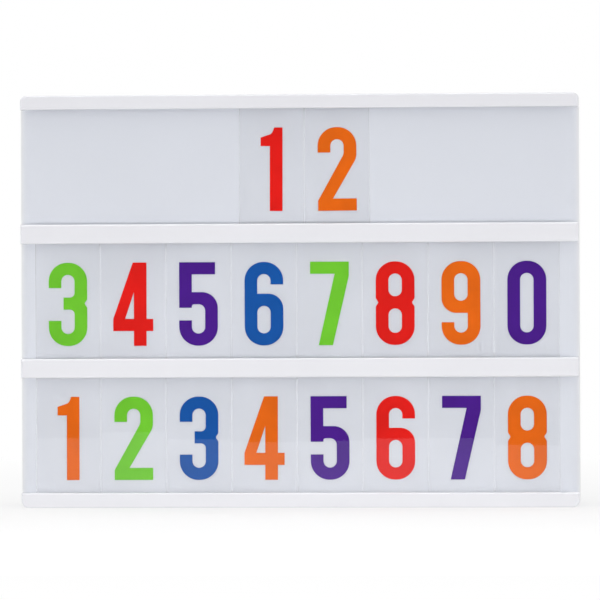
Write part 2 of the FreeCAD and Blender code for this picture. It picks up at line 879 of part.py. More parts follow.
def make_battery_cells():
    """Six round cells that point up and down by turns."""
    body = CELL_LENGTH - CELL_NUB
    outline = (
        (0, 0),
        (CELL_RADIUS, 0),
        (CELL_RADIUS, body),
        (CELL_NUB_RADIUS, body),
        (CELL_NUB_RADIUS, CELL_LENGTH),
        (0, CELL_LENGTH),
    )
    corners = [V(r, 0, z) for r, z in outline]
    cell = Part.Face(Part.makePolygon(corners + corners[:1])).revolve(V(0, 0, 0), ALONG_Z, 360)
    cells = []
    nub_end = PLATE_ROOM + PLATE_THICK + BUMP
    for i in range(CELL_COUNT):
        one = cell.copy()
        if i % 2:
            one.rotate(V(0, 0, 0), ALONG_X, 180)
            one.translate(V(cell_x(i), CELL_Y, BAY_BOTTOM + nub_end + CELL_LENGTH))
        else:
            one.translate(V(cell_x(i), CELL_Y, BAY_TOP - nub_end - CELL_LENGTH))
        cells.append(one)
    return Part.makeCompound(cells)


def spring_length():
    """Room that is left between a cell's flat end and the contact plate."""
    inside = BAY_TOP - BAY_BOTTOM - 2 * (PLATE_ROOM + PLATE_THICK)
    return inside - CELL_LENGTH - BUMP


def make_contact_springs():
    """One conical spring on the flat end of each cell."""
    length = spring_length()
    springs = []
    for i in range(CELL_COUNT):
        spring = coil_spring(length)
        if i % 2:
            spring.rotate(V(0, 0, 0), ALONG_X, 180)
            spring.translate(V(cell_x(i), CELL_Y, BAY_TOP - PLATE_ROOM - PLATE_THICK))
        else:
            spring.translate(V(cell_x(i), CELL_Y, BAY_BOTTOM + PLATE_ROOM + PLATE_THICK))
        springs.append(spring)
    return Part.makeCompound(springs)


def contact_plate(first, last, at_top, tail):
    """A plate behind the cells first to last, with a bump at each nub and an optional solder tail."""
    if at_top:
        z0 = BAY_TOP - PLATE_ROOM - PLATE_THICK
    else:
        z0 = BAY_BOTTOM + PLATE_ROOM
    z1 = z0 + PLATE_THICK
    x0 = cell_x(first) - PLATE_HALF
    x1 = cell_x(last) + PLATE_HALF
    solids = [box(x0, x1, PLATE_LOW_Y, PLATE_HIGH_Y, z0, z1)]
    for i in range(first, last + 1):
        nub_here = at_top if i % 2 == 0 else not at_top
        if not nub_here:
            continue
        x = cell_x(i)
        z_bump = z0 - BUMP if at_top else z1
        half = 1.8
        solids.append(
            box(x - half, x + half, CELL_Y - half, CELL_Y + half, z_bump, z_bump + BUMP)
        )
    if tail:
        x = cell_x(first)
        solids.append(box(x - 1.5, x + 1.5, 10.6, 11.0, z0, BAY_TOP + BAY_WALL + 3.0))
    return fuse(solids)


def make_contact_plates():
    """Plates that join the cells in series, three below and four above."""
    below = [contact_plate(i, i + 1, False, False) for i in range(0, CELL_COUNT, 2)]
    above = [contact_plate(i, i + 1, True, False) for i in range(1, CELL_COUNT - 1, 2)]
    ends = [contact_plate(i, i, True, True) for i in (0, CELL_COUNT - 1)]
    return Part.makeCompound(below + above + ends)


def tail_slots():
    """Slots in the bay's upper wall for the solder tails."""
    return [
        box(x - 1.8, x + 1.8, 10.3, 11.3, BAY_TOP - 0.5, BAY_TOP + BAY_WALL + 0.5)
        for x in (cell_x(0), cell_x(CELL_COUNT - 1))
    ]


def make_control_board():
    """The board that carries the switch and the socket."""
    board = box(BOARD_LEFT, BOARD_RIGHT, BOARD_FRONT, BOARD_BACK, BOARD_BOTTOM, BOARD_TOP)
    holes = [
        threaded_rod(x, z, BOARD_FRONT - 1, BOARD_BACK + 1, BOARD_PILOT_RADIUS + 0.2)
        for x, z in BOARD_POSTS
    ]
    return cut(board, holes)


def make_board_parts():
    """Driver chip, capacitor and resistors on the board's front face."""
    chip = box(-96.0, -90.0, BOARD_FRONT - 1.6, BOARD_FRONT, 56.0, 61.0)
    capacitor = rod(-106.0, 66.0, BOARD_FRONT - 7.0, BOARD_FRONT, 2.5)
    resistors = [
        box(x - 1.6, x + 1.6, BOARD_FRONT - 0.6, BOARD_FRONT, 65.0, 66.6)
        for x in (-94.0, -88.0, -82.0)
    ]
    return Part.makeCompound([chip, capacitor] + resistors)


def make_switch_body():
    """Slide switch housing, open at the back over the knob's foot."""
    wide, high = SWITCH_BODY
    slot_x = SLOT_SIZE[0]
    body = box(
        SWITCH_X - wide / 2,
        SWITCH_X + wide / 2,
        BOARD_BACK,
        SWITCH_BODY_BACK,
        SWITCH_Z - high / 2,
        SWITCH_Z + high / 2,
    )
    track = box(
        SWITCH_X - slot_x / 2,
        SWITCH_X + slot_x / 2,
        20.0,
        SWITCH_BODY_BACK + 1,
        SWITCH_Z - KNOB_SIZE[1] / 2 - COVER_ROOM,
        SWITCH_Z + KNOB_SIZE[1] / 2 + COVER_ROOM,
    )
    return cut(body, [track])


def make_switch_knob():
    """Sliding knob in its off position, with two grip grooves."""
    wide, high = KNOB_SIZE
    x = SWITCH_X - SWITCH_TRAVEL / 2
    knob = box(x - wide / 2, x + wide / 2, 20.4, KNOB_TIP, SWITCH_Z - high / 2, SWITCH_Z + high / 2)
    rim = [e for e in knob.Edges if abs(e.BoundBox.YMin - KNOB_TIP) < 1e-6]
    knob = knob.makeChamfer(0.35, rim)
    grooves = [
        box(x + s - 0.25, x + s + 0.25, KNOB_TIP - 0.4, KNOB_TIP + 1, SWITCH_Z - 3, SWITCH_Z + 3)
        for s in (-0.8, 0.8)
    ]
    return cut(knob, grooves)


def make_power_socket():
    """Barrel socket: a block on the board, a round mouth and its centre pin."""
    mouth = BACK - 0.3
    block = box(
        SOCKET_X - 4.6,
        SOCKET_X + 4.6,
        BOARD_BACK,
        SKIN_INSIDE - 0.3,
        SOCKET_Z - 5.0,
        SOCKET_Z + 5.0,
    )
    barrel = rod(SOCKET_X, SOCKET_Z, SKIN_INSIDE - 1, mouth, SOCKET_BARREL)
    bore = rod(SOCKET_X, SOCKET_Z, mouth - SOCKET_DEPTH, mouth + 1, SOCKET_BORE)
    pin = rod(SOCKET_X, SOCKET_Z, mouth - SOCKET_DEPTH - 0.5, mouth - 1.0, SOCKET_PIN)
    return fuse([cut(fuse([block, barrel]), [bore]), pin])


def make_reflector():
    """White sheet in front of the bay that carries the light strips."""
    sheet = rounded_plate(
        -REFLECTOR_HALF,
        REFLECTOR_HALF,
        REFLECTOR_BOTTOM,
        REFLECTOR_TOP,
        REFLECTOR_FRONT,
        REFLECTOR_BACK,
        4.0,
    )
    room = LEAD_RADIUS + 0.6
    lead_hole = box(
        min(STRIP_LEAD_PLACES) - room,
        max(STRIP_LEAD_PLACES) + room,
        REFLECTOR_FRONT - 1,
        REFLECTOR_BACK + 1,
        STRIP_LEAD_Z - room,
        STRIP_LEAD_Z + room,
    )
    return cut(sheet, [lead_hole])


def row_middle(row):
    """Height of a row's middle, where its light strip runs."""
    return ROW_BOTTOMS[row] + ROW_OPENING / 2


def make_led_strip(row):
    """A thin strip across the row."""
    z = row_middle(row)
    half = STRIP_HEIGHT / 2
    return box(-STRIP_HALF, STRIP_HALF, STRIP_FRONT, REFLECTOR_FRONT, z - half, z + half)


def make_led_packages():
    """The light packages along every strip."""
    wide, thick, high = LED_SIZE
    packages = []
    for row in ROW_BOTTOMS:
        z = row_middle(row)
        for i in range(LED_COUNT):
            x = (i - (LED_COUNT - 1) / 2) * LED_PITCH
            packages.append(
                box(
                    x - wide / 2,
                    x + wide / 2,
                    STRIP_FRONT - thick,
                    STRIP_FRONT,
                    z - high / 2,
                    z + high / 2,
                )
            )
    return Part.makeCompound(packages)


def make_battery_leads():
    """Two wires from the bay's solder tails to the board."""
    tail_y = 11.0 + LEAD_RADIUS
    pad_y = BOARD_BACK + LEAD_RADIUS
    tail_z = BAY_TOP + BAY_WALL + 1.0
    near = (
        (cell_x(0), tail_y, tail_z),
        (-44.0, tail_y, 106.0),
        (-78.0, 14.5, 102.0),
        (-84.0, pad_y, 70.0),
    )
    far = (
        (cell_x(CELL_COUNT - 1), tail_y, tail_z),
        (30.0, tail_y, 114.0),
        (-28.0, 12.5, 119.0),
        (-82.0, 14.5, 112.0),
        (-90.0, pad_y, 70.0),
    )
    return Part.makeCompound([bent_tube(route, LEAD_RADIUS) for route in (near, far)])


def make_strip_leads():
    """Two wires from the board's face, forward through the reflector and down onto the lower strip."""
    wire_y = STRIP_FRONT - LEAD_RADIUS
    board_y = BOARD_FRONT - LEAD_RADIUS
    leads = []
    for x in STRIP_LEAD_PLACES:
        route = (
            (x, board_y, STRIP_LEAD_Z + 8.6),
            (x, board_y, STRIP_LEAD_Z),
            (x, wire_y, STRIP_LEAD_Z),
            (x, wire_y, row_middle("bottom") + 1.0),
        )
        leads.append(bent_tube(route, LEAD_RADIUS))
    return Part.makeCompound(leads)


def make_strip_links():
    """Flat ribbons that carry the current on from strip to strip."""
    links = []
    rows = ("bottom", "middle", "top")
    for lower, upper in zip(rows, rows[1:]):
        for side in (-1, 1):
            x = side * LINK_X
            links.append(
                box(
                    x - LINK_HALF,
                    x + LINK_HALF,
                    STRIP_FRONT - LINK_THICK,
                    STRIP_FRONT,
                    row_middle(lower) + LED_SIZE[2],
                    row_middle(upper) - LED_SIZE[2],
                )
            )
    return Part.makeCompound(links)


def screw(x, z, head_y, facing, head_size, shank_radius, shank):
    """A screw along Y; facing is +1 where the head stands towards +Y."""
    head_radius, head = head_size
    top = Part.makeCylinder(head_radius, head, V(x, head_y, z), V(0, facing, 0))
    y0, y1 = sorted((head_y + facing * head / 2, head_y - facing * shank))
    return fuse([top, threaded_rod(x, z, y0, y1, shank_radius)])


def make_case_screws():
    """The screws at the floors of the wells."""
    radius = PILOT_RADIUS - SHANK_ROOM
    return Part.makeCompound(
        [
            screw(x, z, WELL_FLOOR, 1, CASE_SCREW_HEAD, radius, CASE_SCREW_SHANK)
            for x in SCREW_PLACES_X
            for z in SCREW_PLACES_Z
        ]
    )


def make_board_screws():
    """Two small screws through the board into its posts."""
    radius = BOARD_PILOT_RADIUS - SHANK_ROOM
    return Part.makeCompound(
        [
            screw(x, z, BOARD_FRONT, -1, BOARD_SCREW_HEAD, radius, BOARD_SCREW_SHANK)
            for x, z in BOARD_POSTS
        ]
    )


def all_nodes():
    """Every piece of the light box by the name of its node."""
    nodes = {"front_shell": make_front_shell()}
    for name, low, height in RAILS:
        nodes[name] = make_rail(name, low, height)
    for name, left, row in tile_places():
        nodes[name] = make_tile(left, row)
    nodes["back_shell"] = cut(make_back_shell(), tail_slots())
    nodes["battery_cover"] = make_battery_cover()
    nodes["cover_latch"] = make_cover_latch()
    nodes["battery_cells"] = make_battery_cells()
    nodes["contact_springs"] = make_contact_springs()
    nodes["contact_plates"] = make_contact_plates()
    nodes["control_board"] = make_control_board()
    nodes["board_parts"] = make_board_parts()
    nodes["switch_body"] = make_switch_body()
    nodes["switch_knob"] = make_switch_knob()
    nodes["power_socket"] = make_power_socket()
    nodes["reflector_sheet"] = make_reflector()
    for row in ROW_BOTTOMS:
        nodes["led_strip_%s" % row] = make_led_strip(row)
    nodes["led_packages"] = make_led_packages()
    nodes["battery_leads"] = make_battery_leads()
    nodes["strip_leads"] = make_strip_leads()
    nodes["strip_links"] = make_strip_links()
    nodes["case_screws"] = make_case_screws()
    nodes["board_screws"] = make_board_screws()
    return nodes


def main():
    """Build every piece and write one file for each."""
    os.makedirs("parts", exist_ok=True)
    for name, shape in all_nodes().items():
        shape.exportStep("parts/%s.step" % name)
        print(name, len(shape.Solids), "valid" if shape.isValid() else "NOT VALID", round(shape.Volume, 1))
    print("least gap between spring turns", round(spring_gap(spring_length()), 2), "mm")


main()
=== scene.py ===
"""Cinema light box: finishes, figures, small parts, lights and camera round the solid model. Metres."""

import math

import bmesh
import bpy
from mathutils import Matrix, Vector
from mathutils.geometry import tessellate_polygon


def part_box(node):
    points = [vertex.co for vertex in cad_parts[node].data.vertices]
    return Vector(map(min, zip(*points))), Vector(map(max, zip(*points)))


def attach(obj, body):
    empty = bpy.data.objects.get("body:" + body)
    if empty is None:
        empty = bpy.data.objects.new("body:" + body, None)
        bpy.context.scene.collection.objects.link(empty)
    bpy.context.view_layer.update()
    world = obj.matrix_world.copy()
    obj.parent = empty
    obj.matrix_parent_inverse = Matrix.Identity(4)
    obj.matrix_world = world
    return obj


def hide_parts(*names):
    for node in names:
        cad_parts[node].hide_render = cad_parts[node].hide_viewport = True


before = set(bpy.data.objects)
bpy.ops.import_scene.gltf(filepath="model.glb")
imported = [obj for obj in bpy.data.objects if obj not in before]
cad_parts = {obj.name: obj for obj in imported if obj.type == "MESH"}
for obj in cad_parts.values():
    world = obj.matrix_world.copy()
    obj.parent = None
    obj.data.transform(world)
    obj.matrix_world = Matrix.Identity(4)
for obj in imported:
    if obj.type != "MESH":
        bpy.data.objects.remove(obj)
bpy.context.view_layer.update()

MM = 0.001

# Camera, solved from the corners and rail edges of the box in the 600 x 600 picture
PICTURE_SIDE = 600
SENSOR_WIDTH = 36.0
FOCAL_PIXELS = 3681.2
CAMERA_PLACE = (0.0996, -2.0, 0.1156)
CAMERA_PITCH = 0.12
CAMERA_YAW = 2.87
CAMERA_ROLL = -0.24

# Floor, which ends in front of the box
FLOOR_FRONT = -0.96
FLOOR_SIDE = 3.0
FLOOR_BACK = 6.0

# Light of the floor: on everything, added in gloss close to the box, and the reach of that addition
FLOOR_LEVEL = 0.725
FLOOR_GLOSS = 0.4
FLOOR_GLOSS_REACH = (0.15, 0.3)

# How much of the plain white the floor shows close to the box, and where it becomes all white
FLOOR_WHITE_NEAR = 0.45
FLOOR_WHITE_REACH = (0.2, 0.6)

# Light of the room at shares of the way from straight ahead of the box round to behind it
ROOM_LEVELS = ((0.0075, 0.06), (0.03, 0.2), (0.42, 1.25), (0.6, 1.25), (1.0, 0.7))

# The room is a little darker overhead: the factor there, and the heights between which it sets in
CEILING_FACTOR = 0.85
CEILING_HEIGHTS = (0.2, 0.8)

# Lamps, watts
KEY_WATTS = 1.85
FILL_WATTS = 5.2
LOW_WATTS = 0.78
TOP_WATTS = 1.3
EDGE_WATTS = 6.5
BOX_MIDDLE = (0, 0, 0.11)

# Display colours of the plastics: the diffuser's face and the painted light that whitens its turned-away
# rim, the rails, the back
DIFFUSER_FACE = (222, 225, 233)
DIFFUSER_RIM_PAINTED_LIGHT = (246, 246, 244)
RAIL_WHITE = (236, 236, 241)
BACK_WHITE = (233, 233, 235)

# Values of a noise between which a drifting colour goes from its darker to its lighter tone
RAMP_STOPS = (0.35, 0.65)

# Film: mirrored share straight on, what is added edge on, and how matt its cut edge is
FILM_MIRROR = 0.06
FILM_GRAZING = 0.94
FILM_ROUGHNESS = 0.012
EDGE_FROST = (0.1, 0.28)

# Clear tiles, millimetres; each stands a little loose in its grooves
TILE_CORNER = 1.0
TILE_BEVEL = 0.2
TILE_LEANS = {
    "top": (0.05, -0.08),
    "middle": (0.04, -0.06, 0.08, -0.03, 0.05, -0.07, 0.03, 0.06),
    "bottom": (0.02, 0.15, -0.03, -0.08, -0.06, -0.01, 0.0, -0.17),
}
TILE_TURNS = {
    "top": (0.25, -0.3),
    "middle": (-0.05, 0.12, 0.04, -0.1, 0.08, 0.0, -0.12, 0.06),
    "bottom": (0.1, -0.06, 0.05, 0.12, -0.08, 0.04, 0.1, -0.05),
}

# Printed figures, millimetres
FIGURE_HEIGHT = 44.9
FIGURE_WIDTH = 20.8
STEM = 6.8
BAR = 6.5
BOWL_RADIUS = 10.0
COUNTER_RADIUS = (FIGURE_WIDTH - 2 * STEM) / 2
FIGURE_BASE = 8.5
INK_THICK = 0.05
INK_GAP = 0.01
ARC_STEPS = 10

RED = (232, 18, 8)
ORANGE = (236, 104, 0)
GREEN = (114, 204, 46)
PURPLE = (73, 18, 140)
BLUE = (6, 84, 168)
INK_NAMES = {RED: "red", ORANGE: "orange", GREEN: "green", PURPLE: "purple", BLUE: "blue"}
ROW_FIGURES = {
    "top": (("1", RED), ("2", ORANGE)),
    "middle": (
        ("3", GREEN), ("4", RED), ("5", PURPLE), ("6", BLUE),
        ("7", GREEN), ("8", RED), ("9", ORANGE), ("0", PURPLE),
    ),
    "bottom": (
        ("1", ORANGE), ("2", GREEN), ("3", BLUE), ("4", ORANGE),
        ("5", PURPLE), ("6", RED), ("7", PURPLE), ("8", ORANGE),
    ),
}

# Small parts, millimetres
ROUND_SIDES = 32
WIRE_SIDES = 12
SHARP_ANGLE = 35.0
SPRING_WIRE = 0.6
SPRING_COILS = 4.0
SPRING_STEPS = 24
SPRING_BASE = 3.6
SPRING_TIP = 2.2
CELLS = 6
CELL_RADIUS = 7.1
CELL_LENGTH = 50.5
CASE_SCREW_HEAD = (2.8, 2.0)
BOARD_SCREW_HEAD = (2.0, 1.3)
WIRE_RADIUS = 0.7
BATTERY_LEADS = (
    ((-38.25, 11.7, 90.5), (-44.0, 11.7, 106.0), (-78.0, 14.5, 102.0), (-84.0, 15.7, 70.0)),
    (
        (38.25, 11.7, 90.5), (30.0, 11.7, 114.0), (-28.0, 12.5, 119.0), (-82.0, 14.5, 112.0),
        (-90.0, 15.7, 70.0),
    ),
)
STRIP_LEADS = (
    ((-116.5, 12.7, 54.0), (-116.5, 12.7, 45.4), (-116.5, 1.5, 45.4), (-116.5, 1.5, 39.95)),
    ((-113.5, 12.7, 54.0), (-113.5, 12.7, 45.4), (-113.5, 1.5, 45.4), (-113.5, 1.5, 39.95)),
)

# Off and on marks in the dish round the switch, millimetres
MARK_HALF_HEIGHT = 1.5
MARK_STROKE = 0.5
MARK_RAISE = 0.25
MARK_OUT = 6.3
DISH_FLOOR = 26.1
SWITCH_MIDDLE = (-80.0, 60.0)


def linear(rgb):
    """Scene colour of an 8-bit display colour."""
    channels = []
    for value in rgb:
        share = value / 255
        channels.append(share / 12.92 if share <= 0.04045 else ((share + 0.055) / 1.055) ** 2.4)
    return tuple(channels) + (1.0,)


def shade(colour, factor):
    """A colour made a little darker or lighter."""
    return tuple(min(1.0, c * factor) for c in colour[:3]) + (1.0,)


class Nodes:
    """Short way to build one material's node tree."""

    def __init__(self, name):
        self.material = bpy.data.materials.new(name)
        self.material.use_nodes = True
        self.tree = self.material.node_tree
        self.shader = self.tree.nodes["Principled BSDF"]
        self.out = self.tree.nodes["Material Output"]
        self.place = self.add("ShaderNodeTexCoord").outputs["Object"]

    def add(self, kind, **values):
        node = self.tree.nodes.new(kind)
        for key, value in values.items():
            setattr(node, key, value)
        return node

    def link(self, source, target):
        self.tree.links.new(source, target)

    def math(self, operation, first, second, third=None):
        """A Math node; each input is a socket or a number."""
        node = self.add("ShaderNodeMath", operation=operation)
        for socket, value in zip(node.inputs, (first, second, third)):
            if value is None:
                continue
            if isinstance(value, (int, float)):
                socket.default_value = value
            else:
                self.link(value, socket)
        return node.outputs[0]

    def noise(self, scale, detail=3.0, stretch=(1, 1, 1)):
        mapping = self.add("ShaderNodeMapping")
        mapping.inputs["Scale"].default_value = stretch
        self.link(self.place, mapping.inputs["Vector"])
        texture = self.add("ShaderNodeTexNoise")
        texture.inputs["Scale"].default_value = scale
        texture.inputs["Detail"].default_value = detail
        self.link(mapping.outputs["Vector"], texture.inputs["Vector"])
        return texture.outputs["Fac"]

    def ramp(self, fac, low, high):
        node = self.add("ShaderNodeValToRGB")
        for element, place, colour in zip(node.color_ramp.elements, RAMP_STOPS, (low, high)):
            element.position = place
            element.color = colour
        self.link(fac, node.inputs["Fac"])
        return node.outputs["Color"]

    def span(self, fac, low, high, low_from=0.0, high_from=1.0):
        node = self.add("ShaderNodeMapRange")
        node.inputs["From Min"].default_value = low_from
        node.inputs["From Max"].default_value = high_from
        node.inputs["To Min"].default_value = low
        node.inputs["To Max"].default_value = high
        self.link(fac, node.inputs["Value"])
        return node.outputs["Result"]

    def bump(self, height, strength, distance):
        node = self.add("ShaderNodeBump")
        node.inputs["Strength"].default_value = strength
        node.inputs["Distance"].default_value = distance
        self.link(height, node.inputs["Height"])
        return node.outputs["Normal"]

    def mix(self, fac, first, second):
        node = self.add("ShaderNodeMixShader")
        self.link(fac, node.inputs["Fac"])
        self.link(first, node.inputs[1])
        self.link(second, node.inputs[2])
        return node.outputs[0]


def moulded(name, rgb, roughness, drift, grain=2600.0, grain_strength=0.15):
    """Moulded plastic with a faint drift of colour, uneven gloss and a fine grain."""
    n = Nodes(name)
    colour = linear(rgb)
    base = n.ramp(n.noise(14.0, 4.0), shade(colour, 1 - drift), shade(colour, 1 + drift))
    n.link(base, n.shader.inputs["Base Color"])
    n.link(n.span(n.noise(60.0), roughness * 0.85, roughness * 1.15), n.shader.inputs["Roughness"])
    n.link(n.bump(n.noise(grain, 2.0), grain_strength, 0.01 * MM), n.shader.inputs["Normal"])
    return n


def metal(name, rgb, roughness, stretch=(1, 1, 1)):
    """Plain metal with fine drawn marks."""
    n = Nodes(name)
    colour = linear(rgb)
    n.shader.inputs["Metallic"].default_value = 1.0
    marks = n.noise(1800.0, 3.0, stretch)
    n.link(n.ramp(marks, shade(colour, 0.85), shade(colour, 1.08)), n.shader.inputs["Base Color"])
    n.link(n.span(marks, roughness * 0.7, roughness * 1.3), n.shader.inputs["Roughness"])
    n.link(n.bump(marks, 0.2, 0.01 * MM), n.shader.inputs["Normal"])
    return n.material


def diffuser_material():
    """Milky, faintly blue plastic with a soft gloss, and painted light that whitens it where it turns away.
    """
    n = moulded("milky_diffuser", DIFFUSER_FACE, 0.34, 0.008, 900.0, 0.05)
    face = n.shader.inputs["Base Color"].links[0].from_socket
    # Painted light: where the surface turns away from the view it is painted whiter, standing in for light
    # from the bright room at the sides.
    turned = n.add("ShaderNodeLayerWeight")
    turned.inputs["Blend"].default_value = 0.5
    blend = n.add("ShaderNodeMix", data_type="RGBA")
    n.link(n.math("POWER", turned.outputs["Facing"], 1.5), blend.inputs["Factor"])
    n.link(face, blend.inputs["A"])
    blend.inputs["B"].default_value = linear(DIFFUSER_RIM_PAINTED_LIGHT)
    n.link(blend.outputs["Result"], n.shader.inputs["Base Color"])
    n.shader.inputs["Subsurface Weight"].default_value = 0.25
    n.shader.inputs["Subsurface Radius"].default_value = (1.0, 1.0, 1.0)
    n.shader.inputs["Subsurface Scale"].default_value = 1.5 * MM
    return n.material


def film_material():
    """Clear glossy film. Its outer faces mirror for both faces of the film; its inner ones are clear.

    It takes no light from what lies behind, because what it reflects bounces back there.
    """
    n = Nodes("clear_film")
    n.tree.nodes.remove(n.shader)
    clear = n.add("ShaderNodeBsdfTransparent")
    n.link(n.ramp(n.noise(30.0, 2.0), (0.99, 0.99, 0.99, 1), (1, 1, 1, 1)), clear.inputs["Color"])
    shine = n.add("ShaderNodeBsdfGlossy")
    shine.inputs["Roughness"].default_value = FILM_ROUGHNESS
    n.link(n.bump(n.noise(9.0, 1.0), 0.1, 0.6 * MM), shine.inputs["Normal"])
    facing = n.add("ShaderNodeLayerWeight")
    facing.inputs["Blend"].default_value = 0.5
    steep = n.math("POWER", facing.outputs["Facing"], 5.0)
    mirror = n.math("MULTIPLY_ADD", steep, FILM_GRAZING, FILM_MIRROR)
    inner = n.add("ShaderNodeNewGeometry").outputs["Backfacing"]
    path = n.add("ShaderNodeLightPath")
    lighting = n.math("MAXIMUM", path.outputs["Is Shadow Ray"], path.outputs["Is Diffuse Ray"])
    outer = n.math("SUBTRACT", 1.0, n.math("MAXIMUM", inner, lighting))
    both = n.mix(n.math("MULTIPLY", mirror, outer), clear.outputs[0], shine.outputs[0])
    n.link(both, n.out.inputs["Surface"])
    return n.material


def cut_edge_material():
    """The film's cut edge, which scatters a little light."""
    n = Nodes("film_edge")
    n.tree.nodes.remove(n.shader)
    clear = n.add("ShaderNodeBsdfTransparent")
    frost = n.add("ShaderNodeBsdfDiffuse")
    n.link(n.ramp(n.noise(400.0), (0.93, 0.93, 0.94, 1), (1, 1, 1, 1)), frost.inputs["Color"])
    both = n.mix(n.span(n.noise(250.0), *EDGE_FROST), clear.outputs[0], frost.outputs[0])
    n.link(both, n.out.inputs["Surface"])
    return n.material


def ink_material(rgb):
    """Printed ink with a slightly uneven lay."""
    n = Nodes("ink_" + INK_NAMES[rgb])
    colour = linear(rgb)
    lay = n.ramp(n.noise(55.0, 4.0), shade(colour, 0.95), shade(colour, 1.06))
    n.link(lay, n.shader.inputs["Base Color"])
    n.link(n.span(n.noise(900.0, 2.0), 0.4, 0.55), n.shader.inputs["Roughness"])
    n.shader.inputs["Specular IOR Level"].default_value = 0.1
    return n.material


def new_object(name, bm, materials, smooth=False):
    """A scene object from a bmesh."""
    bmesh.ops.recalc_face_normals(bm, faces=bm.faces)
    mesh = bpy.data.meshes.new(name)
    bm.to_mesh(mesh)
    bm.free()
    for material in materials:
        mesh.materials.append(material)
    if smooth:
        mesh.shade_smooth()
        mesh.set_sharp_from_angle(angle=math.radians(SHARP_ANGLE))
    obj = bpy.data.objects.new(name, mesh)
    bpy.context.scene.collection.objects.link(obj)
    return obj


def rounded_outline(corners):
    """Points of a closed outline; each corner is (x, z) or (x, z, radius)."""
    points = []
    for i, corner in enumerate(corners):
        here = Vector(corner[:2])
        radius = corner[2] if len(corner) > 2 else 0.0
        if not radius:
            points.append(here)
            continue
        back = (Vector(corners[i - 1][:2]) - here).normalized()
        ahead = (Vector(corners[(i + 1) % len(corners)][:2]) - here).normalized()
        half = back.angle(ahead) / 2
        reach = radius / math.tan(half)
        middle = here + (back + ahead).normalized() * (radius / math.sin(half))
        spoke = here + back * reach - middle
        sweep = spoke.angle_signed(here + ahead * reach - middle)
        for step in range(ARC_STEPS + 1):
            points.append(middle + Matrix.Rotation(-sweep * step / ARC_STEPS, 2) @ spoke)
    return points


def circle(radius, sides=ROUND_SIDES):
    """Points of a circle."""
    angles = [2 * math.pi * i / sides for i in range(sides)]
    return [Vector((radius * math.cos(a), radius * math.sin(a))) for a in angles]


def rectangle(half_wide, half_high, radius):
    """Points of a rectangle with rounded corners, about its middle."""
    signs = ((-1, -1), (1, -1), (1, 1), (-1, 1))
    return rounded_outline([(x * half_wide, z * half_high, radius) for x, z in signs])


def ring(bm, points, depth):
    """Vertices of an outline at a depth along Y."""
    return [bm.verts.new((p.x * MM, depth * MM, p.y * MM)) for p in points]


def wall(bm, first, second, index=0):
    """Faces between two rings with as many vertices."""
    count = len(first)
    for i in range(count):
        j = (i + 1) % count
        bm.faces.new((first[i], first[j], second[j], second[i])).material_index = index


def cap(bm, rings):
    """A flat face inside the first ring and outside the others."""
    flat = [v for one in rings for v in one]
    for triangle in tessellate_polygon([[v.co for v in one] for one in rings]):
        bm.faces.new([flat[i] for i in triangle])


def plate(bm, loops, start, thick):
    """A flat plate with holes: the first loop is its outline, the others are holes."""
    fronts = [ring(bm, loop, start) for loop in loops]
    backs = [ring(bm, loop, start + thick) for loop in loops]
    cap(bm, fronts)
    cap(bm, backs)
    for front, back in zip(fronts, backs):
        wall(bm, front, back)


